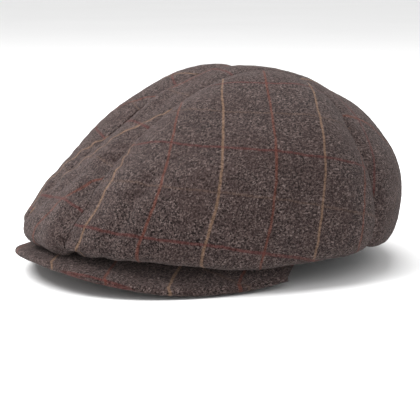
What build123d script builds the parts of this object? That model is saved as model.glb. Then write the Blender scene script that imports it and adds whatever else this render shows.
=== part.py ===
from build123d import *
import math
import os

# Newsboy cap, flat three-panel style, standing on its visor and back rim.
# Millimetres. The wearer faces -Y, the wearer's left side is +X, +Z is up.

# ---- head opening: an egg made of two half ellipses that share one width ----
HEAD_FRONT = 113.5      # from the crown's centre line to the forehead
HEAD_BACK = 87.5        # from the same line to the back of the head
HEAD_HALF_WIDTH = 80.5
CROWN_Y = 25.5          # the crown's centre line in the part's frame
RIM_Z = 11.0            # height of the sweatband's lower edge at RIM_LEVEL_Y
RIM_TILT = 0.0766       # rise of the head opening per millimetre towards the front
RIM_LEVEL_Y = 12.5      # where the tilted rim plane has that height
BELLY_TILT = 0.058      # rise of the crown's lower edge per millimetre towards the front
BELLY_BACK_Y = 130.4    # where that edge touches the ground

# ---- crown outline: Bezier points (distance from the centre line, height) ----
CROWN_FRONT = [(118, 20.5), (174, -0.5), (180, 32.5), (123, 42.5), (97, 99.5), (34, 118.5), (0, 118.5)]
CROWN_SIDE = [(84, 12.5), (96, 1.5), (103, -8.5), (118, 67.5), (92, 95.5), (35, 118.5), (0, 118.5)]
CROWN_BACK = [(91, 4.5), (96, -13.5), (102, 14.5), (136, 67.5), (87, 96.5), (35, 118.5), (0, 118.5)]
LINING_FRONT = [(116.5, 23), (157, 44.5), (115, 46.5), (64, 112.5), (0, 112.5)]
LINING_SIDE = [(83.5, 14.5), (110, 67.5), (69, 80.5), (50, 112.5), (0, 112.5)]
LINING_BACK = [(90.5, 6.5), (116, 81), (68.5, 76), (54, 112.5), (0, 112.5)]
CROWN = (CROWN_FRONT, CROWN_SIDE, CROWN_BACK)
LINING = (LINING_FRONT, LINING_SIDE, LINING_BACK)
CROWN_FOOT = ((152, -20), (94, -20), (97, -20))     # flat section that closes the dome from below
LINING_FOOT = ((103, -20), (78, -20), (88, -20))
CROWN_STEPS = (0.26, 0.34, 0.42, 0.5, 0.58, 0.66, 0.74, 0.82)       # places on the curves for sections
LINING_STEPS = (0.0, 0.08, 0.17, 0.27, 0.38, 0.5, 0.62, 0.74, 0.84)
TOP_STEP = 0.93         # the last section, which is flat and closes the dome on top
SECTION_POINTS = 28     # points on each section's curve
SLOPE_STEP = 0.002      # half the stretch of curve that its direction is taken from

# ---- seams: (forward distance, half width of the centre panel) ----
SEAM = [(160, 36), (137, 32), (113, 23), (85, 17), (40, 15.5), (0, 16), (-20, 20), (-33, 30),
        (-41, 44), (-44, 62), (-43, 82), (-42, 115)]
SEAM_ORIGIN_Y = 12.5    # forward distances count from here

# ---- cloth and board thicknesses, and where the layers end ----
SEWN_EDGE = 3.5         # the wool ends this far outside the head opening
SEWN_EDGE_TOP = 45.0    # reach of the cut that makes that edge, above the visor and below the crown's top
INTERLINING_HEM = 24.0  # the interlining's lower edge above the sweatband's lower edge
WOOL = 2.0
LAYER_GAP = 0.3
INTERLINING = 0.8
SATIN = 0.5
BAND = 1.2
ELASTIC = 2.0
TAPE = 0.7
BOARD = 1.6
VISOR_CLOTH = 1.3

# ---- visor: underside height = VISOR_Z - slope * forward - arch * (x / half width) squared ----
VISOR_Z = 33.6          # underside height the slope starts from, at SEAM_ORIGIN_Y
VISOR_SLOPE = 0.1635
VISOR_ARCH = 26.1
VISOR_HALF_WIDTH = 93.0
VISOR_ROOT = 8.0        # forward distance of the visor's two ends
VISOR_DEPTH = 135.0     # from its ends to its tip
VISOR_FULLNESS = 0.82   # under 1 makes the outline fuller than an ellipse
VISOR_INNER_GAP = 1.6   # the visor starts this far outside the head opening
BOARD_INSET = 2.6       # the cloth edge stands this far past the board
SEAT = 0.5              # clearance between the visor and the crown that lies on it
SEAT_DEPTH = 60         # height of the cut that makes that clearance
SEAT_END = 1.5          # and how far it runs on past the visor's two ends
OUTLINE_ANGLES = range(-84, 85, 12)     # degrees from the visor's middle to the outline's points
ARCH_FORWARD = range(-20, 181, 20)      # grid of points that the arched surface is fitted to
ARCH_SIDEWAYS = range(-120, 121, 20)

# ---- sweatband and its trim ----
BAND_HEIGHT = 32.0
ELASTIC_HALF_ANGLE = 52.0
BINDING_HEIGHT = 3.0
BINDING_TURN = 0.4      # the binding stands this far in from the sweatband's inner face
TAPE_HEIGHT = 9.0
HEM_LIFT = 3.0          # the lining's hem above the sweatband's lower edge
STITCH_COUNT = 76
STITCH_LENGTH = 3.2
STITCH_WIDTH = 0.5
STITCH_CLEARANCE = 0.1
STITCH_SPREAD = 1.5     # degrees past the elastic where a stitch still rides over its edge
STITCH_RISE = 4.0       # from the sweatband's lower edge up to its stitch line
LABEL_THICKNESS = 0.4
SIZE_LABEL_RISE = (9, 25)       # lower and upper edge above the sweatband's lower edge
SIZE_LABEL_PLACE = (0, 9)       # middle and half width, in degrees from the back
CARE_LABEL_RISE = (8, 30)
CARE_LABEL_PLACE = (100, 6)

TALL = 200.0            # reach of the cutting tools, more than the cap's own size


def bezier(points, t):
    """Point at t on the Bezier curve through the given control points."""
    row = [tuple(p) for p in points]
    while len(row) > 1:
        row = [tuple((1 - t) * a + t * b for a, b in zip(p, q)) for p, q in zip(row, row[1:])]
    return row[0]


def inset_point(points, t, inset):
    """Point of a profile moved inwards by inset, square to the curve."""
    ahead = bezier(points, t + SLOPE_STEP)
    behind = bezier(points, t - SLOPE_STEP)
    run = ahead[0] - behind[0]
    rise = ahead[1] - behind[1]
    size = math.hypot(run, rise)
    radius, height = bezier(points, t)
    return radius - inset * rise / size, height + inset * run / size


def ring_wire(front, side, back):
    """Closed smooth curve from three (radius, height) points: front, side and back."""
    points = []
    for i in range(SECTION_POINTS):
        angle = 2 * math.pi * i / SECTION_POINTS
        ahead = -math.cos(angle)
        reach, height = front if ahead > 0 else back
        x = side[0] * math.sin(angle)
        z = side[1] + (height - side[1]) * ahead ** 2
        points.append((x, CROWN_Y - ahead * reach, z))
    return Wire([Edge.make_spline(points, periodic=True)])


def egg_prism(growth, low=-TALL, high=TALL):
    """Upright column whose plan is the head opening grown by growth."""
    base = ring_wire((HEAD_FRONT + growth, low), (HEAD_HALF_WIDTH + growth, low), (HEAD_BACK + growth, low))
    return Solid.extrude(Face(base), Vector(0, 0, high - low))


def dome(profiles, steps, foot, inset):
    """Closed dome over the head, its wall lying inset millimetres inside the profiles."""
    sections = [ring_wire(*[(radius - inset, z - inset) for radius, z in foot])]
    for t in steps:
        sections.append(ring_wire(*[inset_point(points, t, inset) for points in profiles]))
    top = profiles[1][-1][1] - inset
    sections.append(ring_wire(*[(bezier(points, TOP_STEP)[0], top) for points in profiles]))
    return Solid.make_loft(sections)


def crown_dome(inset):
    """The crown's closed dome, inset millimetres inside the outer face of the wool."""
    return dome(CROWN, CROWN_STEPS, CROWN_FOOT, inset)


def wool_shell():
    """The outer cloth of the crown with its turned-in lower edge, before it is cut into panels."""
    outside = crown_dome(0) - below(belly_plane())
    wall = outside - crown_dome(WOOL)
    turned_in = outside & below(belly_plane(WOOL))
    return wall + turned_in - egg_prism(SEWN_EDGE, high=SEWN_EDGE_TOP) - visor_seat()


def interlining_shell():
    """The stiffening layer under the wool, which stops above the belly's fold."""
    inset = WOOL + LAYER_GAP
    upper = crown_dome(inset) - below(rim_plane(INTERLINING_HEM))
    return upper - crown_dome(inset + INTERLINING)


def lining_shell():
    """The lining, hanging from its hem inside the crown."""
    wall = dome(LINING, LINING_STEPS, LINING_FOOT, 0) - dome(LINING, LINING_STEPS, LINING_FOOT, SATIN)
    band_room = egg_prism(BAND + TAPE + 2 * LAYER_GAP, high=SEWN_EDGE_TOP)
    return wall - below(rim_plane(HEM_LIFT)) - band_room - visor_seat()


def belly_plane(lift=0):
    """The tilted plane that the crown's lower edge lies on, raised by lift."""
    return Plane(origin=(0, BELLY_BACK_Y, lift), x_dir=(1, 0, 0), z_dir=(0, BELLY_TILT, 1))


def rim_plane(lift):
    """The tilted plane of the head opening, raised by lift."""
    return Plane(origin=(0, RIM_LEVEL_Y, RIM_Z + lift), x_dir=(1, 0, 0), z_dir=(0, RIM_TILT, 1))


def below(plane):
    """Everything under a plane."""
    return plane * Box(3 * TALL, 3 * TALL, TALL, align=(Align.CENTER, Align.CENTER, Align.MAX))


def rim_slab(low, high):
    """The space between two planes parallel to the head opening."""
    thickness = (high - low) * math.cos(math.atan(RIM_TILT))
    return rim_plane(low) * Box(2 * TALL, 2 * TALL, thickness, align=(Align.CENTER, Align.CENTER, Align.MIN))


def centre_column():
    """Upright column over the centre panel: narrow on top, flaring at the back."""
    left = [(half, SEAM_ORIGIN_Y - forward) for forward, half in SEAM]
    right = [(-x, y) for x, y in reversed(left)]
    back = (left[-1][0], TALL), (right[0][0], TALL)
    edges = [Edge.make_spline(left), Edge.make_line(left[-1], back[0]), Edge.make_line(*back),
             Edge.make_line(back[1], right[0]), Edge.make_spline(right),
             Edge.make_line(right[-1], left[0])]
    plan = Face(Wire(edges))
    return Pos(0, 0, -TALL / 2) * Solid.extrude(plan, Vector(0, 0, 2 * TALL))


def side_box(sign):
    """The half space on one side of the cap."""
    return Pos(sign * TALL / 2, 0, 0) * Box(TALL, 3 * TALL, 3 * TALL)


def cut_panels(prefix, shell):
    """The centre, left and right panels of one layer."""
    column = centre_column()
    sides = shell - column
    return {
        prefix + "centre_panel": shell & column,
        prefix + "left_panel": sides & side_box(1),
        prefix + "right_panel": sides & side_box(-1),
    }


def visor_outline(growth, end=0):
    """Upright column over the whole visor, its edge moved out by growth and its ends run back by end."""
    points = []
    for degrees in OUTLINE_ANGLES:
        t = math.radians(degrees)
        x = (VISOR_HALF_WIDTH + growth) * math.sin(t)
        forward = VISOR_ROOT + (VISOR_DEPTH + growth) * math.cos(t) ** VISOR_FULLNESS
        points.append((x, SEAM_ORIGIN_Y - forward))
    left = points[0]
    right = points[-1]
    corners = [right, (right[0], right[1] + end), (left[0], left[1] + end), left]
    sides = zip(corners, corners[1:])
    plan = Face(Wire([Edge.make_spline(points)] + [Edge.make_line(a, b) for a, b in sides if a != b]))
    return Pos(0, 0, -TALL / 2) * Solid.extrude(plan, Vector(0, 0, TALL))


def visor_sheet(top, thickness):
    """Arched sheet under a surface that stands top millimetres above the visor's underside."""
    rows = []
    for forward in ARCH_FORWARD:
        row = []
        for x in ARCH_SIDEWAYS:
            fall = VISOR_SLOPE * forward + VISOR_ARCH * (x / VISOR_HALF_WIDTH) ** 2
            row.append((x, SEAM_ORIGIN_Y - forward, VISOR_Z - fall + top))
        rows.append(row)
    surface = Face.make_surface_from_array_of_points(rows, tol=0.01)
    return Solid.extrude(surface, Vector(0, 0, -thickness))


def visor_thickness():
    """Cloth, board and cloth."""
    return 2 * VISOR_CLOTH + BOARD


def visor_seat():
    """The room the visor needs under the crown."""
    return visor_sheet(visor_thickness() + SEAT, SEAT_DEPTH) & visor_outline(SEAT, SEAT_END)


def visor_parts():
    """Board between two cloth covers, the upper one turned down round the board's edge."""
    whole = visor_outline(0) - egg_prism(VISOR_INNER_GAP)
    inner = visor_outline(-BOARD_INSET) & whole
    upper = visor_sheet(visor_thickness(), VISOR_CLOTH) & whole
    turned_edge = visor_sheet(visor_thickness() - VISOR_CLOTH, BOARD) & (whole - inner)
    return {
        "visor_top_cover": upper + turned_edge,
        "visor_board": visor_sheet(VISOR_CLOTH + BOARD, BOARD) & inner,
        "visor_under_cover": visor_sheet(VISOR_CLOTH, VISOR_CLOTH) & whole,
    }


def band_ring(inner, outer, low, high):
    """Ring round the head between two growths and two heights above the rim plane."""
    return (egg_prism(outer) - egg_prism(inner)) & rim_slab(low, high)


def wedge(middle, half_angle):
    """Upright wedge about one direction from the crown's centre, in degrees from the back."""
    corners = [(0, CROWN_Y)]
    for angle in (middle - half_angle, middle, middle + half_angle):
        turn = math.radians(angle)
        corners.append((TALL * math.sin(turn), CROWN_Y + TALL * math.cos(turn)))
    outline = Wire.make_polygon(corners, close=True)
    return Pos(0, 0, -TALL / 2) * Solid.extrude(Face(outline), Vector(0, 0, TALL))


def sweatband_parts():
    """Sweatband, its elastic at the back, the binding on its top edge and the rim's stay tape."""
    back = wedge(0, ELASTIC_HALF_ANGLE)
    return {
        "sweatband_front": band_ring(0, BAND, 0, BAND_HEIGHT) - back,
        "sweatband_back_elastic": band_ring(BAND - ELASTIC, BAND, 0, BAND_HEIGHT) & back,
        "sweatband_top_binding": band_ring(-BINDING_TURN, BAND, BAND_HEIGHT, BAND_HEIGHT + BINDING_HEIGHT),
        "rim_stay_tape": band_ring(BAND + LAYER_GAP, BAND + LAYER_GAP + TAPE, HEM_LIFT,
                                   HEM_LIFT + TAPE_HEIGHT) - visor_seat(),
    }


def labels():
    """Two plain woven labels inside the sweatband."""
    face = BAND - ELASTIC
    size = band_ring(face - LABEL_THICKNESS, face, *SIZE_LABEL_RISE) & wedge(*SIZE_LABEL_PLACE)
    care = band_ring(-LABEL_THICKNESS, 0, *CARE_LABEL_RISE) & wedge(*CARE_LABEL_PLACE)
    return {"size_label": size, "care_label": care}


def band_stitches():
    """Thread that shows inside the sweatband, one short bar for each stitch."""
    stitches = []
    for i in range(STITCH_COUNT):
        angle = 2 * math.pi * (i + 0.5) / STITCH_COUNT
        ahead = -math.cos(angle)
        on_elastic = abs(angle_from_back(angle)) < ELASTIC_HALF_ANGLE + STITCH_SPREAD
        face = BAND - ELASTIC if on_elastic else 0
        inner = face - STITCH_WIDTH / 2 - STITCH_CLEARANCE
        reach = (HEAD_FRONT if ahead > 0 else HEAD_BACK) + inner
        half = HEAD_HALF_WIDTH + inner
        x = half * math.sin(angle)
        y = CROWN_Y - ahead * reach
        along = math.degrees(math.atan2(reach * math.sin(angle), -half * ahead))
        z = RIM_Z + STITCH_RISE + RIM_TILT * (RIM_LEVEL_Y - y)
        stitches.append(Location((x, y, z), (0, 0, -along)) * Box(STITCH_LENGTH, STITCH_WIDTH, STITCH_WIDTH))
    return {"sweatband_stitches": Compound(children=stitches)}


def angle_from_back(angle):
    """Degrees round the crown's centre from the back, as seen in plan."""
    ahead = -math.cos(angle)
    reach = HEAD_FRONT if ahead > 0 else HEAD_BACK
    return math.degrees(math.atan2(HEAD_HALF_WIDTH * math.sin(angle), -ahead * reach))


def build_parts():
    """Every node of the cap by name."""
    parts = {}
    parts.update(cut_panels("crown_", wool_shell()))
    parts.update(cut_panels("interlining_", interlining_shell()))
    parts.update(cut_panels("lining_", lining_shell()))
    parts.update(visor_parts())
    parts.update(sweatband_parts())
    parts.update(labels())
    parts.update(band_stitches())
    return parts


os.makedirs("parts", exist_ok=True)
for node, shape in build_parts().items():
    export_step(shape, f"parts/{node}.step")
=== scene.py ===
import math

import bmesh
import bpy
import numpy as np
from mathutils import Matrix, Vector, kdtree


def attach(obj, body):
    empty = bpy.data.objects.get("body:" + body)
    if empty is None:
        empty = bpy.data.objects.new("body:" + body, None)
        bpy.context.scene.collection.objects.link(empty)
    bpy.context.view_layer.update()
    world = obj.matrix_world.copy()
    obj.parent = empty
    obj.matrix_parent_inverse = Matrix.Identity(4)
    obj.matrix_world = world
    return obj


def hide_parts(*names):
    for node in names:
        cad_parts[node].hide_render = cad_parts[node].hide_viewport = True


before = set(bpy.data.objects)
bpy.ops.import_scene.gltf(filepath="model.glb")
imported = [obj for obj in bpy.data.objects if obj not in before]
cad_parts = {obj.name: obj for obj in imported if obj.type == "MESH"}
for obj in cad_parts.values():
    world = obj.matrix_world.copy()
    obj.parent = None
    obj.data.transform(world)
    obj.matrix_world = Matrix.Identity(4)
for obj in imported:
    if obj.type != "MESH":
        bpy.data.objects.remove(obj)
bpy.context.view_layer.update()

# Newsboy cap, three-panel flat style. Metres. The wearer faces -Y, the wearer's left is +X.
MM = 0.001

# ---- crown outline, the same Bezier points as the CAD: (distance from the centre line, height), mm ----
CROWN_FRONT = [(118, 20.5), (174, -0.5), (180, 32.5), (123, 42.5), (97, 99.5), (34, 118.5), (0, 118.5)]
CROWN_SIDE = [(84, 12.5), (96, 1.5), (103, -8.5), (118, 67.5), (92, 95.5), (35, 118.5), (0, 118.5)]
CROWN_BACK = [(91, 4.5), (96, -13.5), (102, 14.5), (136, 67.5), (87, 96.5), (35, 118.5), (0, 118.5)]
LINING_FRONT = [(116.5, 23), (157, 44.5), (115, 46.5), (64, 112.5), (0, 112.5)]
LINING_SIDE = [(83.5, 14.5), (110, 67.5), (69, 80.5), (50, 112.5), (0, 112.5)]
LINING_BACK = [(90.5, 6.5), (116, 81), (68.5, 76), (54, 112.5), (0, 112.5)]
CROWN = (CROWN_FRONT, CROWN_SIDE, CROWN_BACK)
LINING = (LINING_FRONT, LINING_SIDE, LINING_BACK)
CROWN_Y = 25.5
ORIGIN_Y = 12.5         # forward distances count from here

# ---- head opening and rim plane, mm ----
HEAD_FRONT = 113.5
HEAD_BACK = 87.5
HEAD_HALF_WIDTH = 80.5
RIM_Z = 11.0
RIM_TILT = 0.0766
BAND_HEIGHT = 32.0
BAND = 1.2
ELASTIC_HALF_ANGLE = 52.0
ELASTIC_EXTRA = 0.8     # the elastic is this much thicker than the band, inwards
STITCHES = 76
STITCH_HEIGHT = 4.0
STITCH_LENGTH = 3.0
STITCH_RADIUS = 0.26
RIB_PITCH = 0.0006      # cross yarns of the woven bands, metres

# ---- seams: (forward distance, half width of the centre panel), mm ----
# From (113, 23) to (-43, 82) these are the CAD's points, and (127, 28) lies near the line between two of
# them. Past the first and the last point the seam runs straight out to the sewn edge.
SEAM = [(127, 28), (113, 23), (85, 17), (40, 15.5), (0, 16), (-20, 20), (-33, 30),
        (-41, 44), (-44, 62), (-43, 82)]
SEAM_ROWS = 300
CAP_ROWS_FRONT = 10
CAP_ROWS_BACK = 110
SIDE_COLUMNS = 150
CENTRE_COLUMNS = 131

# ---- cloth thicknesses and gaps, metres ----
WOOL = 0.0018
WOOL_COVER = 0.0011     # on the visor, where it is pulled tight
SATIN = 0.0004
FLEECE = 0.0005
FLEECE_DEPTH = 0.0043   # how far the stiffening layer lies inside the plain dome
FLEECE_REACH = 0.66     # the stiffening layer's edge, as a disc radius
WELD = 0.00002
HEM = 0.012             # relief dies out this close to the sewn edge

# ---- visor, mm ----
VISOR_Z = 33.6
VISOR_SLOPE = 0.1635
VISOR_ARCH = 26.1
VISOR_HALF_WIDTH = 93.0
VISOR_ROOT = 8.0
VISOR_DEPTH = 135.0
VISOR_FULLNESS = 0.82
VISOR_THICKNESS = 4.2
VISOR_INNER_GAP = 1.6
VISOR_TURN = 87         # the cloth's two ends, degrees from the visor's middle
BOARD_TURN = 85
BOARD_INSET = 3.4
BOARD_HALF = 0.75       # half the board's thickness

# ---- how the soft cap settles away from the plain CAD shell, metres ----
NOSE_RISE = 0.0044      # the crown's lower edge over the visor's tip
SIDE_RISE = 0.0063      # the same at the sides and the back
TOP_RISE = 0.0030
SIDE_HANG = 0.0050      # the near-front sides sag back over the visor's ends
BACK_SHRINK = 0.02
VISOR_STRETCH = 0.038
VISOR_SAG = 0.0048      # drop of the visor's two ends
VISOR_DROP = 0.0004
SETTLE_TOP = 0.075      # height where the lower edge's rise dies out
HANG_AT = -0.028        # the sag's middle along Y, and how far it reaches
HANG_REACH = 0.038
HANG_SIDE = 0.085       # it is full this far out from the centre line

# ---- how the wool stands off the plain dome, metres ----
SIDE_FULLNESS = 0.0012
SIDE_PUFF = 0.0034      # more of it, higher up
SHOULDER = 0.0016       # the side panel's swell beside the top of the centre panel
SIDE_HOLLOW = 0.0022    # low on the side panel
CENTRE_FULLNESS = 0.0010
CENTRE_DIP = 0.0016     # the centre panel sinks between the two shoulders
FOLD_HEIGHT = 0.0022    # the long diagonal fold in front
GROOVE_DEPTH = 0.0018   # the hollow that crosses it
SEAM_DEPTH = 0.0012
REAR_SEAM = 0.24        # distance along the seam where its rear part starts
PUCKER_SEAM = 0.165     # distance along the seam where the puckers have faded
PUCKER_PITCH = 0.0125
PUCKER_LEAST = 0.0003
PUCKER_MORE = 0.0020
CREASE_DEPTH = 0.0022
DRAPE = 0.0013
DRAPE_FINE = 0.0006
FELT = 0.00010
FELT_FINE = 0.00007

# ---- camera and light ----
CAMERA_AIM = (-0.004, 0.0, 0.0268)
CAMERA_AZIMUTH = 56.5
CAMERA_ELEVATION = 11.1
CAMERA_DISTANCE = 0.847
CAMERA_ROLL = 0.3
CAMERA_LENS = 109.7
WORLD_LIGHT = 0.9
KEY_LAMP = ((-0.35, -0.95, 1.30), 0.7, 28)      # place, size, watts
TOP_LAMP = ((-0.3, 0.25, 1.6), 0.9, 18)
FLOOR_HALF = 6

# ---- check of the cloth ----
CHECK = 0.035           # metres from one line to the next; lines alternate in colour
# Which line passes a place on a side panel, in decimetres: constant, forward, sideways, up, forward^2,
# up^2, sideways * up. Lines that run up the panel, then lines that run along it.
UP_LINES = (1.03, -2.85, 3.4, -1.27, 1.0, 1.8, -0.4)
ALONG_LINES = (5.3, 0.7, -1.1, -3.55, -0.35, -1.4, 1.5)
STRIP_RED = 109         # forward distance of a dark red line across the centre panel, mm

# ============================ geometry helpers ============================

def bezier(points, t):
    """Points at the array t on a Bezier curve: (radius, height) arrays."""
    row = [(np.full_like(t, p[0]), np.full_like(t, p[1])) for p in points]
    while len(row) > 1:
        row = [((1 - t) * a[0] + t * b[0], (1 - t) * a[1] + t * b[1]) for a, b in zip(row, row[1:])]
    return row[0]


def dome_points(profiles, ahead, side):
    """Places on the dome for disc coordinates, in metres. Radius 1 is the lower edge, 0 the top."""
    radius = np.clip(np.hypot(ahead, side), 1e-6, 1.0)
    cos = ahead / radius
    sin = side / radius
    t = 1 - radius
    front = bezier(profiles[0], t)
    flank = bezier(profiles[1], t)
    back = bezier(profiles[2], t)
    reach = np.where(cos > 0, front[0], back[0])
    height = np.where(cos > 0, front[1], back[1])
    x = sin * flank[0]
    y = CROWN_Y - cos * reach
    z = flank[1] + (height - flank[1]) * cos ** 2
    return np.stack([x, y, z], -1) * MM


def dome_normals(profiles, ahead, side):
    """Outward unit normals of the dome at disc coordinates."""
    step = 0.004
    scale = np.minimum(1.0, (1 - step) / np.maximum(np.hypot(ahead, side), 1e-6))
    ahead = ahead * scale
    side = side * scale
    along = dome_points(profiles, ahead + step, side) - dome_points(profiles, ahead - step, side)
    across = dome_points(profiles, ahead, side + step) - dome_points(profiles, ahead, side - step)
    normal = np.cross(along, across)
    size = np.linalg.norm(normal, axis=-1, keepdims=True)
    return normal / np.maximum(size, 1e-12)


def disc_place(forward, sideways):
    """Disc coordinates (ahead, side) of the dome's upper face over a place in plan, in mm."""
    ahead = (forward + CROWN_Y - ORIGIN_Y) / 250
    side = sideways / 215
    goal = np.array([sideways, ORIGIN_Y - forward]) * MM
    step = 0.002
    for _ in range(30):
        here, nearer, wider = dome_points(CROWN, np.array([ahead, ahead + step, ahead]),
                                          np.array([side, side, side + step]))[:, :2]
        slope = np.column_stack([nearer - here, wider - here]) / step
        move = np.linalg.solve(slope, goal - here)
        ahead += 0.6 * move[0]
        side += 0.6 * move[1]
    return ahead, side


def settle(points):
    """Moves points of the crown and of what it holds to where the soft cap settles."""
    moved = np.array([tuple(point) for point in points], float)
    x, y, z = moved[:, 0].copy(), moved[:, 1].copy(), moved[:, 2].copy()
    low = np.clip(1 - z / SETTLE_TOP, 0, 1)
    front = np.clip((-y - 0.02) / 0.10, 0, 1)
    hang = np.exp(-((y - HANG_AT) / HANG_REACH) ** 2) * np.clip(np.abs(x) / HANG_SIDE, 0, 1.1) ** 2
    moved[:, 2] += low * (NOSE_RISE * front + SIDE_RISE * (1 - front) - SIDE_HANG * hang)
    moved[:, 2] += TOP_RISE * np.clip(z / 0.118, 0, 1) ** 2
    moved[:, 1] -= BACK_SHRINK * np.maximum(y, 0)
    return moved


def settle_visor(points):
    """The visor's own settling: a little longer, its ends lower."""
    moved = np.array(points, float)
    moved[:, 1] *= 1 + VISOR_STRETCH * np.clip(-moved[:, 1] / 0.13, 0, 1)
    moved[:, 2] -= VISOR_DROP + VISOR_SAG * (moved[:, 0] / 0.093) ** 2
    return moved


def smooth_curve(points, count):
    """count evenly spaced points on a smooth curve through the given points (Catmull-Rom)."""
    p = np.array(points, float)
    p = np.vstack([2 * p[0] - p[1], p, 2 * p[-1] - p[-2]])
    out = []
    for i in range(1, len(p) - 2):
        for t in np.linspace(0, 1, 40, endpoint=False):
            out.append(0.5 * (2 * p[i] + (p[i + 1] - p[i - 1]) * t
                              + (2 * p[i - 1] - 5 * p[i] + 4 * p[i + 1] - p[i + 2]) * t ** 2
                              + (3 * p[i] - p[i - 1] - 3 * p[i + 1] + p[i + 2]) * t ** 3))
    out.append(p[-2])
    out = np.array(out)
    length = np.r_[0, np.cumsum(np.linalg.norm(np.diff(out, axis=0), axis=1))]
    even = np.linspace(0, length[-1], count)
    return np.stack([np.interp(even, length, out[:, k]) for k in range(2)], -1)


def new_piece(name, vertices, faces):
    """A mesh object from arrays, shaded smooth."""
    mesh = bpy.data.meshes.new(name)
    mesh.from_pydata([tuple(v) for v in vertices], [], [tuple(f) for f in faces])
    mesh.validate()
    mesh.polygons.foreach_set("use_smooth", [True] * len(mesh.polygons))
    piece = bpy.data.objects.new(name, mesh)
    bpy.context.scene.collection.objects.link(piece)
    return piece


def grid_faces(rows, columns, flip=False, closed=False):
    """Quads of a grid whose points are stored row by row."""
    faces = []
    last = columns if closed else columns - 1
    for i in range(rows - 1):
        for j in range(last):
            k = (j + 1) % columns
            quad = (i * columns + j, i * columns + k, (i + 1) * columns + k, (i + 1) * columns + j)
            faces.append(quad[::-1] if flip else quad)
    return faces


def cloth_shell(name, outer, inner, rows, columns, flip, uv):
    """A piece of cloth with real thickness from the grids of its two faces, closed round its edge."""
    count = rows * columns
    faces = grid_faces(rows, columns, flip)
    faces += [tuple(index + count for index in quad[::-1]) for quad in faces]
    border = [(0, j) for j in range(columns)]
    border += [(i, columns - 1) for i in range(1, rows)]
    border += [(rows - 1, j) for j in range(columns - 2, -1, -1)]
    border += [(i, 0) for i in range(rows - 2, -1, -1)]
    loop = [i * columns + j for i, j in border]
    for a, b in zip(loop, loop[1:]):
        quad = (b, a, a + count, b + count)
        faces.append(quad[::-1] if flip else quad)
    piece = new_piece(name, np.concatenate([outer, inner]), faces)
    set_uv(piece, np.concatenate([uv, uv]))
    weld(piece, WELD)
    return piece


def set_uv(piece, uv):
    """Cloth coordinates in metres, one for each vertex, as the UV map named cloth."""
    mesh = piece.data
    layer = mesh.uv_layers.new(name="cloth")
    index = np.empty(len(mesh.loops), int)
    mesh.loops.foreach_get("vertex_index", index)
    layer.data.foreach_set("uv", uv[index].astype(np.float32).ravel())


def weld(piece, distance):
    """Merges points that lie together and drops faces with no area."""
    work = bmesh.new()
    work.from_mesh(piece.data)
    bmesh.ops.remove_doubles(work, verts=work.verts, dist=distance)
    bmesh.ops.dissolve_degenerate(work, edges=work.edges, dist=distance)
    work.to_mesh(piece.data)
    work.free()


def thicken(piece, thickness):
    """Gives a sheet real thickness on its inner side, applied to the mesh."""
    modifier = piece.modifiers.new("thickness", "SOLIDIFY")
    modifier.thickness = thickness
    modifier.offset = -1
    modifier.use_even_offset = False
    apply_modifiers(piece)


def apply_modifiers(piece):
    """Replaces the mesh by what its modifiers make of it."""
    graph = bpy.context.evaluated_depsgraph_get()
    mesh = bpy.data.meshes.new_from_object(piece.evaluated_get(graph))
    piece.modifiers.clear()
    piece.data = mesh


def value_noise(points, size, seed):
    """Smooth repeatable noise from -1 to 1 at points in metres, with lumps about size across."""
    rng = np.random.default_rng(seed)
    total = np.zeros(len(points))
    for _ in range(9):
        direction = rng.normal(size=3)
        direction /= np.linalg.norm(direction)
        pitch = size * rng.uniform(0.8, 2.0)
        total += np.sin(2 * math.pi * (points @ direction) / pitch + rng.uniform(0, 2 * math.pi))
    return total / 4.0


# ============================ crown ============================

def seam_on_disc(count):
    """The seam in disc coordinates, run on straight outwards at both ends to the sewn edge."""
    places = [disc_place(forward, half) for forward, half in SEAM]
    for end, at in ((0, 0), (-1, len(places) + 1)):
        ahead, side = places[end]
        size = math.hypot(ahead, side)
        places.insert(at, (ahead / size, side / size))
    return smooth_curve(places, count)


def crown_rows():
    """Disc coordinates of the seam for every row of the crown, front to back, and which rows have one."""
    seam = seam_on_disc(SEAM_ROWS)
    start = math.acos(seam[0, 0])
    front = np.cos(np.linspace(0.02, start, CAP_ROWS_FRONT, endpoint=False))
    end = math.acos(seam[-1, 0])
    back = np.cos(np.linspace(end, math.pi - 0.01, CAP_ROWS_BACK + 1)[1:])
    ahead = np.r_[front, seam[:, 0], back]
    chord = np.sqrt(1 - ahead ** 2)
    half = chord.copy()
    half[CAP_ROWS_FRONT:CAP_ROWS_FRONT + SEAM_ROWS] = seam[:, 1]
    return ahead, half, chord


def arc_height(ahead, side):
    """Distance up the cloth from the sewn edge to each disc coordinate, in metres."""
    angles = np.linspace(-math.pi, math.pi, 145)
    radii = np.linspace(1, 0, 160)
    grid_angle, grid_radius = np.meshgrid(angles, radii, indexing="ij")
    points = dome_points(CROWN, grid_radius * np.cos(grid_angle), grid_radius * np.sin(grid_angle))
    steps = np.linalg.norm(np.diff(points, axis=1), axis=-1)
    arc = np.concatenate([np.zeros((len(angles), 1)), np.cumsum(steps, axis=1)], axis=1)
    radius = np.clip(np.hypot(ahead, side), 0, 1)
    angle = np.arctan2(side, ahead)
    i = np.clip((angle + math.pi) / (2 * math.pi) * (len(angles) - 1), 0, len(angles) - 1.001)
    j = np.clip((1 - radius) * (len(radii) - 1), 0, len(radii) - 1.001)
    i0 = i.astype(int)
    j0 = j.astype(int)
    u = i - i0
    v = j - j0
    return ((1 - u) * (1 - v) * arc[i0, j0] + u * (1 - v) * arc[i0 + 1, j0]
            + (1 - u) * v * arc[i0, j0 + 1] + u * v * arc[i0 + 1, j0 + 1])


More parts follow.
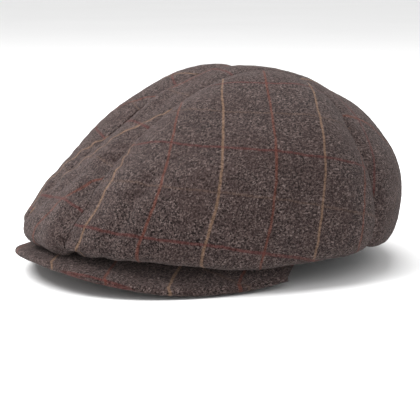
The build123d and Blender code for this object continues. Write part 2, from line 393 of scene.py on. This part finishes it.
def seam_tree():
    """Search tree over the seam's points on both sides, with each point's distance along the seam."""
    seam = seam_on_disc(1200)
    points = dome_points(CROWN, seam[:, 0], seam[:, 1])
    along = np.r_[0, np.cumsum(np.linalg.norm(np.diff(points, axis=0), axis=1))]
    tree = kdtree.KDTree(2 * len(points))
    for i, p in enumerate(points):
        tree.insert(Vector(p), i)
        tree.insert(Vector((-p[0], p[1], p[2])), i)
    tree.balance()
    return tree, along


def seam_distance(points, tree, along):
    """For each point: how far the nearest seam is, and how far along the seam that is."""
    distance = np.empty(len(points))
    place = np.empty(len(points))
    for i, p in enumerate(points):
        _, index, gap = tree.find(p)
        distance[i] = gap
        place[i] = along[index]
    return distance, place


def bump_at(value, centre, width):
    """Smooth bump of height 1 round centre."""
    return np.exp(-((value - centre) / width) ** 2)


def crown_relief(points, distance, place, side_panel, sign):
    """How far the wool stands off the plain dome, in metres: fullness, seam valleys, puckers, dents."""
    forward = ORIGIN_Y * MM - points[:, 1]
    high = np.clip(points[:, 2] / 0.07, 0, 1)
    fullness = 1 - np.exp(-(distance / 0.013) ** 1.4)
    strip_top = bump_at(forward, 0.035, 0.045)
    front = np.clip(1 - place / PUCKER_SEAM, 0, 1)
    back = np.clip((place - REAR_SEAM) / 0.10, 0, 1)
    if side_panel:
        raised = (fullness * (SIDE_FULLNESS + SIDE_PUFF * high)
                  + SHOULDER * strip_top * bump_at(distance, 0.02, 0.018))
        raised -= SIDE_HOLLOW * bump_at(distance, 0.060, 0.05) * bump_at(points[:, 2], 0.03, 0.03)
    else:
        raised = CENTRE_FULLNESS * (1 - np.exp(-(distance / 0.007) ** 2)) * (1 + 0.9 * back)
        raised -= CENTRE_DIP * strip_top * (1 - np.exp(-(distance / 0.010) ** 2))
        ahead_part = np.clip((forward - 0.02) / 0.03, 0, 1)
        raised += FOLD_HEIGHT * ahead_part * bump_at(points[:, 0] - 0.30 * (forward - 0.082), 0.0, 0.007)
        raised -= GROOVE_DEPTH * ahead_part * bump_at(points[:, 0] + 0.9 * (forward - 0.115), 0.0, 0.006)
    valley = -SEAM_DEPTH * np.exp(-(distance / 0.0032) ** 1.5) * (0.6 + 0.4 * back)
    phase = place / PUCKER_PITCH + 0.8 * np.sin(place / 0.021) + 0.35 * sign
    reach = 0.008 + 0.010 * front
    off_seam = 1 - np.exp(-(distance / 0.002) ** 2)
    pucker = np.sin(2 * math.pi * phase) * np.exp(-distance / reach) * off_seam
    strength = PUCKER_LEAST + PUCKER_MORE * front ** 0.7
    crease = (-CREASE_DEPTH * bump_at(distance, 0.017 + 0.018 * place / 0.1, 0.0045)
              * bump_at(place, 0.075, 0.035))
    drape = DRAPE * value_noise(points, 0.075, 3 + sign) + DRAPE_FINE * value_noise(points, 0.030, 8 + sign)
    felt = FELT * value_noise(points, 0.0042, 21) + FELT_FINE * value_noise(points, 0.0026, 5)
    side_crease = crease if side_panel else 0.0
    return raised + valley + strength * pucker + side_crease + drape * (0.3 + 0.7 * fullness) + felt


def cloth_line(terms, points):
    """Number of the check line at points on a side panel; whole numbers are lines."""
    forward = (ORIGIN_Y * MM - points[:, 1]) * 10
    sideways = np.abs(points[:, 0]) * 10
    up = points[:, 2] * 10
    parts = (1, forward, sideways, up, forward ** 2, up ** 2, sideways * up)
    return sum(k * part for k, part in zip(terms, parts))


def side_uv(points):
    """Check coordinates on a side panel, where the flat cloth is bent over the head's side."""
    return CHECK * np.stack([cloth_line(UP_LINES, points), cloth_line(ALONG_LINES, points)], -1)


def centre_uv(points, along):
    """Check coordinates on the centre panel, whose cloth lies a little askew, and along it to the back."""
    forward = ORIGIN_Y * MM - points[:, 1]
    return np.stack([points[:, 0] + 0.55 * (np.maximum(forward, 0.030) - 0.080), along], -1)


def crown_panel(name, kind, tree, along):
    """One wool panel of the crown: kind is -1 right, 0 centre, 1 left."""
    ahead, half, chord = crown_rows()
    if kind == 0:
        across = np.linspace(-1, 1, CENTRE_COLUMNS)
        a = np.repeat(ahead[:, None], CENTRE_COLUMNS, 1)
        b = half[:, None] * across[None]
    else:
        rows = slice(CAP_ROWS_FRONT, CAP_ROWS_FRONT + SEAM_ROWS)
        down = np.linspace(0, 1, SIDE_COLUMNS)
        down = 0.75 * down + 0.25 * down ** 2
        a = np.repeat(ahead[rows, None], SIDE_COLUMNS, 1)
        b = kind * (half[rows, None] + (chord - half)[rows, None] * down[None])
    rows_count, columns = a.shape
    flat_a = a.ravel()
    flat_b = b.ravel()
    points = dome_points(CROWN, flat_a, flat_b)
    normals = dome_normals(CROWN, flat_a, flat_b)
    distance, place = seam_distance(points, tree, along)
    relief = crown_relief(points, distance, place, kind != 0, kind)
    up = arc_height(flat_a, flat_b)
    hem = np.clip(up / HEM, 0, 1)
    moved = points + normals * (relief * hem)[:, None]
    inner = points + normals * (relief * hem - WOOL)[:, None]
    if kind:
        uv = side_uv(settle(points))
    else:
        spine = settle(dome_points(CROWN, ahead, np.zeros_like(ahead)))
        along = np.cumsum(np.r_[0, np.linalg.norm(np.diff(spine, axis=0), axis=1)])
        along -= np.interp(-STRIP_RED, spine[:, 1] / MM - ORIGIN_Y, along)
        uv = centre_uv(settle(points), np.repeat(along, columns))
    return cloth_shell(name, settle(moved), settle(inner), rows_count, columns, kind != 1, uv)


# ============================ visor ============================

def visor_outline(t, growth):
    """(x, forward) in mm of the visor's edge at angle t from its middle."""
    x = (VISOR_HALF_WIDTH + growth) * np.sin(t)
    forward = VISOR_ROOT + (VISOR_DEPTH + growth) * np.abs(np.cos(t)) ** VISOR_FULLNESS
    return x, forward


def visor_root_line(t):
    """(x, forward) in mm of the visor's inner edge, just outside the head opening."""
    angle = t * 0.93
    x = (HEAD_HALF_WIDTH + VISOR_INNER_GAP) * np.sin(angle)
    forward = ORIGIN_Y - CROWN_Y + (HEAD_FRONT + VISOR_INNER_GAP) * np.cos(angle)
    return x, forward


def visor_height(x, forward):
    """Height in mm of the visor's underside."""
    return VISOR_Z - VISOR_SLOPE * forward - VISOR_ARCH * (x / VISOR_HALF_WIDTH) ** 2


def visor_cover(name, upper):
    """The visor's upper or lower cloth, its edge rolled round the board."""
    t = np.radians(np.linspace(-VISOR_TURN, VISOR_TURN, 260))
    inner_x, inner_f = visor_root_line(t)
    middle = VISOR_THICKNESS / 2
    flat_steps = 44
    roll_steps = 9
    rows = []
    for s in np.linspace(0, 1, flat_steps):
        rows.append((s, 1.0, 0.0))
    for angle in np.linspace(0, 0.5 * math.pi, roll_steps)[1:]:
        rows.append((1.0, math.cos(angle), math.sin(angle)))
    points = []
    uv = []
    side = 1 if upper else -1
    for s, lift, push in rows:
        edge_x, edge_f = visor_outline(t, -middle * (1 - push))
        x = inner_x + (edge_x - inner_x) * s
        f = inner_f + (edge_f - inner_f) * s
        z = visor_height(x, f) + middle + side * middle * lift
        points.append(np.stack([x, ORIGIN_Y - f, z], -1))
        uv.append(np.stack([x, f + 3 * push], -1))
    points = np.concatenate(points) * MM
    uv = np.concatenate(uv) * MM
    uv = np.stack([uv[:, 0] - 0.8 * uv[:, 1], 0.8 * uv[:, 0] + uv[:, 1]], -1) / 1.28
    wave = 0.00035 * value_noise(points, 0.045, 31) + 0.00006 * value_noise(points, 0.004, 33)
    points[:, 2] += wave
    piece = new_piece(name, settle_visor(points), grid_faces(len(rows), len(t), flip=upper))
    set_uv(piece, uv)
    thicken(piece, WOOL_COVER)
    return piece


def visor_board(name):
    """The stiff board between the two covers, with a rounded edge."""
    t = np.radians(np.linspace(-BOARD_TURN, BOARD_TURN, 200))
    inner_x, inner_f = visor_root_line(t)
    middle = VISOR_THICKNESS / 2
    rows = []
    edge_x, edge_f = visor_outline(t, -BOARD_INSET)
    for side in (1, -1):
        stations = np.linspace(0.01, 1, 30) if side > 0 else np.linspace(1, 0.01, 30)
        for s in stations:
            x = inner_x + (edge_x - inner_x) * s
            f = inner_f + (edge_f - inner_f) * s
            rounding = max(0, (s - 0.98) / 0.02)
            z = visor_height(x, f) + middle + side * BOARD_HALF * math.sqrt(max(1 - rounding ** 2, 0))
            rows.append(np.stack([x, ORIGIN_Y - f, z], -1))
    rows.append(rows[0])
    points = np.concatenate(rows) * MM
    piece = new_piece(name, settle_visor(points), grid_faces(len(rows), len(t), flip=True))
    weld(piece, WELD)
    fill_holes(piece)
    return piece


def fill_holes(piece):
    """Closes open ends with faces."""
    work = bmesh.new()
    work.from_mesh(piece.data)
    bmesh.ops.holes_fill(work, edges=[edge for edge in work.edges if edge.is_boundary], sides=0)
    bmesh.ops.recalc_face_normals(work, faces=work.faces)
    work.to_mesh(piece.data)
    work.free()


# ============================ inside ============================

def rim_height(y):
    """Height in mm of the head opening's plane at y in mm."""
    return RIM_Z + RIM_TILT * (ORIGIN_Y - y)


def head_ring(angle, growth):
    """(x, y) in mm on the head opening grown by growth; angle 0 is the back."""
    ahead = -np.cos(angle)
    reach = np.where(ahead > 0, HEAD_FRONT, HEAD_BACK) + growth
    return (HEAD_HALF_WIDTH + growth) * np.sin(angle), CROWN_Y - ahead * reach


def band_piece(name, start, end, profile, ripple=0.0, ripples=0, count=420):
    """A strip round the head opening. profile lists (growth, height above the rim plane) in mm."""
    whole = end - start > 2 * math.pi - 0.01
    angle = np.linspace(start, end, count, endpoint=not whole)
    rows = []
    uv = []
    for growth, height in profile:
        wave = ripple * np.sin(ripples * angle) * math.sin(math.pi * min(max(height / BAND_HEIGHT, 0), 1))
        x, y = head_ring(angle, growth + wave)
        rows.append(np.stack([x, y, rim_height(y) + height], -1))
        uv.append(np.stack([angle * 90, np.full_like(angle, height)], -1))
    points = np.concatenate(rows) * MM
    piece = new_piece(name, settle(points), grid_faces(len(profile), count, closed=whole))
    set_uv(piece, np.concatenate(uv) * MM)
    return piece


def closed_profile(inner, outer, low, high, steps):
    """Outline of a flat strip's cross-section with rounded ends, as (growth, height) pairs."""
    middle = (inner + outer) / 2
    half = (outer - inner) / 2
    profile = [(inner, low + half + (high - low - 2 * half) * i / steps) for i in range(steps + 1)]
    for k in range(1, 6):
        a = math.pi * k / 6
        profile.append((middle - half * math.cos(a), high - half + half * math.sin(a)))
    profile += [(outer, high - half - (high - low - 2 * half) * i / steps) for i in range(steps + 1)]
    for k in range(1, 6):
        a = math.pi * k / 6
        profile.append((middle + half * math.cos(a), low + half - half * math.sin(a)))
    profile.append(profile[0])
    return profile


def lining_panel(name, kind):
    """One satin panel of the lining, a little slack and creased."""
    ahead, half, chord = crown_rows()
    ahead = ahead[::2]
    half = half[::2]
    chord = chord[::2]
    has_seam = chord - half > 1e-9
    columns = 90
    if kind == 0:
        a = np.repeat(ahead[:, None], columns, 1)
        b = half[:, None] * np.linspace(-1, 1, columns)[None]
    else:
        a = np.repeat(ahead[has_seam, None], columns, 1)
        depth = (chord - half)[has_seam, None] * np.linspace(0, 1, columns)[None]
        b = kind * (half[has_seam, None] + depth)
    rows = a.shape[0]
    flat_a = a.ravel()
    flat_b = b.ravel()
    points = dome_points(LINING, flat_a, flat_b)
    normals = dome_normals(LINING, flat_a, flat_b)
    loose = np.clip((1 - np.hypot(flat_a, flat_b)) / 0.15, 0, 1)
    crease = 0.0011 * value_noise(points, 0.035, 41) + 0.0005 * value_noise(points, 0.012, 43)
    points = points - normals * (loose * (np.abs(crease) + 0.0002))[:, None]
    piece = new_piece(name, settle(points), grid_faces(rows, columns, flip=kind != 1))
    set_uv(piece, points[:, :2].copy())
    weld(piece, WELD)
    thicken(piece, SATIN)
    return piece


def interlining_panel(name, kind):
    """One panel of the stiffening layer, following the wool from inside."""
    ahead, half, chord = crown_rows()
    ahead = ahead[::3]
    half = half[::3]
    chord = chord[::3]
    has_seam = chord - half > 1e-9
    columns = 60
    outer = np.sqrt(np.maximum(FLEECE_REACH ** 2 - ahead ** 2, 0))
    inner = np.minimum(half, outer)
    inside = np.abs(ahead) < FLEECE_REACH * 0.998
    if kind == 0:
        a = np.repeat(ahead[inside, None], columns, 1)
        b = inner[inside, None] * np.linspace(-1, 1, columns)[None]
    else:
        keep = inside & has_seam & (outer - half > 0.004)
        a = np.repeat(ahead[keep, None], columns, 1)
        b = kind * (half[keep, None] + (outer - half)[keep, None] * np.linspace(0, 1, columns)[None])
    flat_a = a.ravel()
    flat_b = b.ravel()
    points = dome_points(CROWN, flat_a, flat_b)
    normals = dome_normals(CROWN, flat_a, flat_b)
    points = points - normals * FLEECE_DEPTH
    piece = new_piece(name, settle(points), grid_faces(a.shape[0], columns, flip=kind != 1))
    set_uv(piece, points[:, :2].copy())
    weld(piece, WELD)
    thicken(piece, FLEECE)
    return piece


def stitch_row(name, count, height):
    """Sewing thread on the sweatband: one small rounded bar for each stitch."""
    vertices = []
    faces = []
    ring = 8
    stations = [(-1, 0.25), (-0.8, 0.8), (-0.4, 1), (0.4, 1), (0.8, 0.8), (1, 0.25)]
    for i in range(count):
        angle = 2 * math.pi * (i + 0.5) / count
        from_back = math.atan2(HEAD_HALF_WIDTH * math.sin(angle), HEAD_BACK * math.cos(angle))
        growth = -ELASTIC_EXTRA if abs(math.degrees(from_back)) < ELASTIC_HALF_ANGLE else 0.0
        x, y = head_ring(np.array([angle - 0.01, angle, angle + 0.01]), growth - STITCH_RADIUS * 0.7)
        tangent = Vector((x[2] - x[0], y[2] - y[0], 0)).normalized()
        outward = Vector((tangent.y, -tangent.x, 0))
        centre = Vector((x[1], y[1], rim_height(y[1]) + height))
        base = len(vertices)
        for along, size in stations:
            for k in range(ring):
                a = 2 * math.pi * k / ring
                offset = outward * math.cos(a) + Vector((0, 0, 1)) * math.sin(a)
                middle = centre + tangent * along * STITCH_LENGTH / 2
                vertices.append((middle + offset * STITCH_RADIUS * size) * MM)
        for s in range(len(stations) - 1):
            for k in range(ring):
                n = (k + 1) % ring
                faces.append((base + s * ring + k, base + s * ring + n,
                              base + (s + 1) * ring + n, base + (s + 1) * ring + k))
        faces.append(tuple(base + k for k in reversed(range(ring))))
        faces.append(tuple(base + (len(stations) - 1) * ring + k for k in range(ring)))
    return new_piece(name, settle(vertices), faces)


# ============================ materials ============================

class Nodes:
    """A short way to write a material's node tree."""

    def __init__(self, name):
        self.material = bpy.data.materials.new(name)
        self.material.use_nodes = True
        self.tree = self.material.node_tree
        self.tree.nodes.clear()
        self.shader = self.add("ShaderNodeBsdfPrincipled")
        output = self.add("ShaderNodeOutputMaterial")
        self.tree.links.new(self.shader.outputs[0], output.inputs[0])

    def add(self, kind, **settings):
        node = self.tree.nodes.new(kind)
        for key, value in settings.items():
            setattr(node, key, value)
        return node

    def link(self, source, target):
        self.tree.links.new(source, target)

    def math(self, operation, a, b=None, c=None, clamp=False):
        node = self.add("ShaderNodeMath", operation=operation, use_clamp=clamp)
        for slot, value in enumerate((a, b, c)):
            if value is None:
                continue
            if isinstance(value, (int, float)):
                node.inputs[slot].default_value = value
            else:
                self.link(value, node.inputs[slot])
        return node.outputs[0]

    def noise(self, vector, scale, detail=2.0, rough=0.5, distortion=0.0):
        node = self.add("ShaderNodeTexNoise")
        node.inputs["Scale"].default_value = scale
        node.inputs["Detail"].default_value = detail
        node.inputs["Roughness"].default_value = rough
        node.inputs["Distortion"].default_value = distortion
        self.link(vector, node.inputs["Vector"])
        return node.outputs["Fac"]

    def scaled(self, vector, scale, turn=(0, 0, 0)):
        node = self.add("ShaderNodeMapping")
        node.inputs["Scale"].default_value = scale
        node.inputs["Rotation"].default_value = turn
        self.link(vector, node.inputs["Vector"])
        return node.outputs[0]

    def mix(self, factor, a, b):
        node = self.add("ShaderNodeMix", data_type="RGBA")
        for socket, value in ((node.inputs[0], factor), (node.inputs[6], a), (node.inputs[7], b)):
            if isinstance(value, (int, float)):
                socket.default_value = value
            elif isinstance(value, tuple):
                socket.default_value = (*value, 1)
            else:
                self.link(value, socket)
        return node.outputs[2]

    def ramp(self, value, low, high):
        node = self.add("ShaderNodeMapRange")
        node.interpolation_type = "SMOOTHSTEP"
        node.inputs[1].default_value = low
        node.inputs[2].default_value = high
        self.link(value, node.inputs[0])
        return node.outputs[0]

    def bump(self, height, distance, strength=1.0):
        node = self.add("ShaderNodeBump")
        node.inputs["Strength"].default_value = strength
        node.inputs["Distance"].default_value = distance
        self.link(height, node.inputs["Height"])
        self.link(node.outputs[0], self.shader.inputs["Normal"])

    def set(self, **values):
        for key, value in values.items():
            self.shader.inputs[key.replace("_", " ")].default_value = value


def stripe(nodes, coordinate, offset, period, width):
    """Soft line, 1 at its middle, wherever coordinate - offset is a multiple of period."""
    shifted = nodes.math("SUBTRACT", coordinate, offset)
    turn = nodes.math("DIVIDE", shifted, period)
    whole = nodes.math("ROUND", turn)
    away = nodes.math("ABSOLUTE", nodes.math("SUBTRACT", turn, whole))
    metres = nodes.math("MULTIPLY", away, period)
    return nodes.math("SUBTRACT", 1.0, nodes.ramp(metres, 0.25 * width, width))


def wool(name, tan_at, rust_at, red_at, buff_at):
    """Felted brown-charcoal melange with a faint windowpane check, by cloth coordinates in metres."""
    n = Nodes(name)
    place = n.add("ShaderNodeTexCoord").outputs["Object"]
    cloth = n.add("ShaderNodeUVMap", uv_map="cloth").outputs[0]
    split = n.add("ShaderNodeSeparateXYZ")
    n.link(cloth, split.inputs[0])
    wander = n.noise(place, 90, 2)
    drift = n.math("MULTIPLY", n.math("SUBTRACT", wander, 0.5), 0.0022)
    u = n.math("ADD", split.outputs[0], drift)
    v = n.math("ADD", split.outputs[1], drift)
    # fibres: long thin flecks in two directions, light and dark, over rounder clumps
    fleck_a = n.noise(n.scaled(place, (1.0, 0.30, 0.6), (0.3, 0.5, 0.9)), 1700, 3, 0.7)
    fleck_b = n.noise(n.scaled(place, (0.35, 1.0, 0.8), (0.9, 0.2, 0.4)), 1500, 3, 0.7)
    clump = n.noise(place, 760, 3, 0.7, 0.4)
    broad = n.noise(place, 42, 3, 0.5)
    patch = n.noise(place, 190, 3, 0.6)
    fibre = n.math("ADD", n.math("MULTIPLY", fleck_a, 0.5), n.math("MULTIPLY", fleck_b, 0.5))
    blend = n.math("ADD", n.math("MULTIPLY", fibre, 0.5), n.math("MULTIPLY", clump, 0.5))
    light = n.ramp(blend, 0.43, 0.58)
    ground = n.mix(light, (0.0030, 0.0018, 0.0018), (0.118, 0.083, 0.077))
    dark = n.ramp(fleck_b, 0.53, 0.63)
    ground = n.mix(n.math("MULTIPLY", dark, 0.55), ground, (0.004, 0.0025, 0.0025))
    pale = n.ramp(fleck_a, 0.55, 0.65)
    ground = n.mix(n.math("MULTIPLY", pale, 0.55), ground, (0.30, 0.235, 0.22))
    ground = n.mix(n.math("MULTIPLY", n.ramp(patch, 0.42, 0.62), 0.42), ground, (0.022, 0.013, 0.013))
    ground = n.mix(n.math("MULTIPLY", n.ramp(broad, 0.35, 0.7), 0.25), ground, (0.048, 0.027, 0.024))
    worn = n.ramp(blend, 0.36, 0.56)
    period = 2 * CHECK
    lines = (
        (u, tan_at, 0.0013, (0.250, 0.150, 0.092), 0.60),
        (u, rust_at, 0.0013, (0.135, 0.036, 0.021), 0.62),
        (v, red_at, 0.0015, (0.090, 0.019, 0.016), 0.60),
        (v, buff_at, 0.0013, (0.150, 0.092, 0.065), 0.26),
    )
    colour = ground
    for coordinate, offset, width, shade, strength in lines:
        mask = stripe(n, coordinate, offset, period, width)
        fibrous = n.math("MULTIPLY", mask, n.math("MULTIPLY_ADD", worn, 0.75, 0.25))
        colour = n.mix(n.math("MULTIPLY", fibrous, strength), colour, shade)
    n.link(colour, n.shader.inputs["Base Color"])
    rough = n.math("MULTIPLY_ADD", blend, -0.12, 0.98)
    n.link(rough, n.shader.inputs["Roughness"])
    n.set(Sheen_Weight=0.13, Sheen_Roughness=0.5, Specular_IOR_Level=0.08)
    n.shader.inputs["Sheen Tint"].default_value = (0.80, 0.72, 0.70, 1)
    weave = n.math("ADD", n.math("MULTIPLY", blend, 1.0), n.math("MULTIPLY", fleck_a, 0.5))
    n.bump(weave, 0.0014, 1.0)
    return n.material


def satin():
    """Dark lining satin: a soft sheen with faint slubs."""
    n = Nodes("lining_satin")
    place = n.add("ShaderNodeTexCoord").outputs["Object"]
    slub = n.noise(n.scaled(place, (1, 0.06, 1)), 900, 3)
    shade = n.noise(place, 40, 2)
    n.link(n.mix(slub, (0.018, 0.015, 0.017), (0.052, 0.045, 0.048)), n.shader.inputs["Base Color"])
    n.link(n.math("MULTIPLY_ADD", shade, 0.16, 0.30), n.shader.inputs["Roughness"])
    n.set(Sheen_Weight=0.15, Specular_IOR_Level=0.55)
    n.bump(slub, 0.0002, 0.5)
    return n.material


def ribbed(name, dark, light, pitch, relief):
    """Woven band whose fine ribs run up it."""
    n = Nodes(name)
    place = n.add("ShaderNodeTexCoord").outputs["Object"]
    cloth = n.add("ShaderNodeUVMap", uv_map="cloth").outputs[0]
    split = n.add("ShaderNodeSeparateXYZ")
    n.link(cloth, split.inputs[0])
    turns = n.math("MULTIPLY", split.outputs[0], 2 * math.pi / pitch)
    rib = n.math("MULTIPLY_ADD", n.math("SINE", turns), 0.5, 0.5)
    crossing = n.math("MULTIPLY", split.outputs[1], 2 * math.pi / RIB_PITCH)
    yarn = n.math("MULTIPLY_ADD", n.math("SINE", crossing), 0.5, 0.5)
    fuzz = n.noise(place, 1400, 3)
    height = n.math("ADD", rib, n.math("MULTIPLY", yarn, 0.35))
    tone = n.math("ADD", n.math("MULTIPLY", height, 0.5), n.math("MULTIPLY", fuzz, 0.5))
    n.link(n.mix(tone, dark, light), n.shader.inputs["Base Color"])
    n.link(n.math("MULTIPLY_ADD", fuzz, 0.15, 0.75), n.shader.inputs["Roughness"])
    n.set(Sheen_Weight=0.25, Specular_IOR_Level=0.3)
    n.bump(height, relief, 0.8)
    return n.material


def fleece(name, dark, light):
    """Matt bonded fibre sheet, for the interlining and the sewing thread."""
    n = Nodes(name)
    place = n.add("ShaderNodeTexCoord").outputs["Object"]
    fibre = n.noise(n.scaled(place, (1, 0.3, 0.7), (0.4, 0.2, 1.0)), 1200, 4, 0.6)
    n.link(n.mix(fibre, dark, light), n.shader.inputs["Base Color"])
    n.link(n.math("MULTIPLY_ADD", fibre, 0.1, 0.85), n.shader.inputs["Roughness"])
    n.set(Sheen_Weight=0.2)
    n.bump(fibre, 0.0003, 0.6)
    return n.material


def moulded():
    """Matt flexible board with a fine moulded grain."""
    n = Nodes("visor_board_plastic")
    place = n.add("ShaderNodeTexCoord").outputs["Object"]
    grain = n.noise(place, 2200, 3)
    cloud = n.noise(place, 120, 3)
    n.link(n.mix(cloud, (0.045, 0.045, 0.05), (0.085, 0.085, 0.09)), n.shader.inputs["Base Color"])
    n.link(n.math("MULTIPLY_ADD", grain, 0.2, 0.5), n.shader.inputs["Roughness"])
    n.bump(grain, 0.0001, 0.5)
    return n.material


def finish_with(piece, material):
    """Gives a piece one material."""
    piece.data.materials.clear()
    piece.data.materials.append(material)


# ============================ assembly ============================

def build_crown():
    """The three wool panels."""
    tree, along = seam_tree()
    side = wool("wool_side", 0.0, CHECK, 0.0, CHECK)
    centre = wool("wool_centre", 0.001, 0.001 + CHECK, 0.0, CHECK)
    for kind, label in ((0, "centre"), (1, "left"), (-1, "right")):
        piece = crown_panel(f"wool_{label}_panel", kind, tree, along)
        finish_with(piece, side if kind else centre)
        declare(piece, "wool", f"crown_{label}_panel")


def build_visor():
    """Both cloth covers and the board between them."""
    cloth = wool("wool_visor", 0.001, 0.036, 0.060, 0.025)
    top = visor_cover("wool_visor_top", True)
    under = visor_cover("wool_visor_under", False)
    for piece, node in ((top, "visor_top_cover"), (under, "visor_under_cover")):
        finish_with(piece, cloth)
        declare(piece, "wool", node)
    board = visor_board("stiff_board")
    finish_with(board, moulded())
    declare(board, "board", "visor_board")


def declare(piece, slot, *nodes):
    """A new piece rides on the cap and stands for its CAD nodes. The slot argument is not used."""
    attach(piece, "root")
    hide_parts(*nodes)


def build_inside():
    """Lining and interlining, then the bands round the head opening."""
    lining = satin()
    stiff = fleece("interlining_fleece", (0.42, 0.40, 0.36), (0.68, 0.66, 0.60))
    for kind, label in ((0, "centre"), (1, "left"), (-1, "right")):
        panel = lining_panel(f"satin_{label}_panel", kind)
        finish_with(panel, lining)
        declare(panel, "lining", f"lining_{label}_panel")
        layer = interlining_panel(f"fleece_{label}_panel", kind)
        finish_with(layer, stiff)
        declare(layer, "interlining", f"interlining_{label}_panel")
    build_bands()


def build_bands():
    """The strips round the head opening, their stitches and the two labels."""
    half = math.radians(ELASTIC_HALF_ANGLE)
    half = math.atan2(math.sin(half) * HEAD_BACK / HEAD_HALF_WIDTH, math.cos(half))
    whole = 2 * math.pi
    section = closed_profile(0, BAND, 0, BAND_HEIGHT, 14)
    band = band_piece("sweatband", half, whole - half, section, 0.25, 9)
    finish_with(band, ribbed("sweatband_rib", (0.022, 0.018, 0.017), (0.075, 0.064, 0.06), 0.0012, 0.0003))
    declare(band, "sweatband", "sweatband_front")
    section = closed_profile(-ELASTIC_EXTRA, BAND, 0, BAND_HEIGHT, 14)
    elastic = band_piece("back_elastic", -half, half, section, 0.5, 60, 500)
    finish_with(elastic, ribbed("elastic_rib", (0.02, 0.017, 0.017), (0.07, 0.06, 0.058), 0.0022, 0.0006))
    declare(elastic, "elastic", "sweatband_back_elastic")
    section = closed_profile(-0.5, BAND + 0.3, BAND_HEIGHT - 1.5, BAND_HEIGHT + 3, 4)
    binding = band_piece("band_binding", 0, whole, section, 0.0, 0, 500)
    finish_with(binding, ribbed("binding_weave", (0.015, 0.013, 0.013), (0.05, 0.043, 0.042), 0.0008, 0.0002))
    declare(binding, "binding", "sweatband_top_binding")
    thread = stitch_row("band_stitches", STITCHES, STITCH_HEIGHT)
    finish_with(thread, fleece("sewing_thread", (0.10, 0.08, 0.07), (0.2, 0.17, 0.15)))
    declare(thread, "thread", "sweatband_stitches")
    woven = ribbed("label_weave", (0.42, 0.39, 0.33), (0.66, 0.62, 0.54), 0.0007, 0.0001)
    size = band_piece("size_tab", -0.16, 0.16, closed_profile(-1.85, -1.45, 9, 25, 8), 0.0, 0, 40)
    care = band_piece("care_tab", 1.66, 1.86, closed_profile(-0.55, -0.1, 8, 30, 8), 0.0, 0, 40)
    for piece, node in ((size, "size_label"), (care, "care_label")):
        finish_with(piece, woven)
        declare(piece, "label", node)
    section = closed_profile(BAND + 0.3, BAND + 1.0, 3, 12, 4)
    tape = band_piece("stay_tape", 0, whole, section, 0.0, 0, 500)
    finish_with(tape, ribbed("twill_tape", (0.03, 0.026, 0.025), (0.08, 0.07, 0.066), 0.0009, 0.0002))
    declare(tape, "tape", "rim_stay_tape")


def build_stage():
    """Pale floor and soft studio lights."""
    low = -VISOR_SAG
    corners = [(x * FLOOR_HALF, y * FLOOR_HALF, low) for x, y in ((-1, -1), (1, -1), (1, 1), (-1, 1))]
    floor = new_piece("floor", corners, [(0, 1, 2, 3)])
    pale = Nodes("pale_floor")
    place = pale.add("ShaderNodeTexCoord").outputs["Object"]
    cloud = pale.noise(place, 3.0, 2)
    pale.link(pale.mix(cloud, (0.86, 0.86, 0.86), (0.9, 0.9, 0.9)), pale.shader.inputs["Base Color"])
    pale.set(Roughness=0.8)
    finish_with(floor, pale.material)
    world = bpy.data.worlds.new("studio")
    world.use_nodes = True
    world.node_tree.nodes["Background"].inputs[0].default_value = (1, 1, 1, 1)
    world.node_tree.nodes["Background"].inputs[1].default_value = WORLD_LIGHT
    bpy.context.scene.world = world
    lamp("key", *KEY_LAMP)
    lamp("top", *TOP_LAMP)
    bpy.context.scene.view_settings.view_transform = "Standard"


def lamp(name, place, size, power):
    """Square area light aimed at the cap."""
    light = bpy.data.lights.new(name, "AREA")
    light.size = size
    light.energy = power
    holder = bpy.data.objects.new(name, light)
    holder.location = place
    holder.rotation_euler = (Vector((0, 0, 0.05)) - Vector(place)).to_track_quat("-Z", "Y").to_euler()
    bpy.context.scene.collection.objects.link(holder)


def build_camera():
    """Camera at the reference view, rolled a little."""
    azimuth = math.radians(CAMERA_AZIMUTH)
    elevation = math.radians(CAMERA_ELEVATION)
    away = Vector((math.sin(azimuth) * math.cos(elevation), -math.cos(azimuth) * math.cos(elevation),
                   math.sin(elevation)))
    data = bpy.data.cameras.new("camera")
    data.lens = CAMERA_LENS
    data.clip_end = 50
    camera = bpy.data.objects.new("camera", data)
    turn = away.to_track_quat("Z", "Y").to_matrix().to_4x4()
    roll = Matrix.Rotation(math.radians(CAMERA_ROLL), 4, "Z")
    camera.matrix_world = Matrix.Translation(Vector(CAMERA_AIM) + away * CAMERA_DISTANCE) @ turn @ roll
    bpy.context.scene.collection.objects.link(camera)
    bpy.context.scene.camera = camera


build_camera()
build_stage()
build_crown()
build_visor()
build_inside()
bpy.context.view_layer.update()
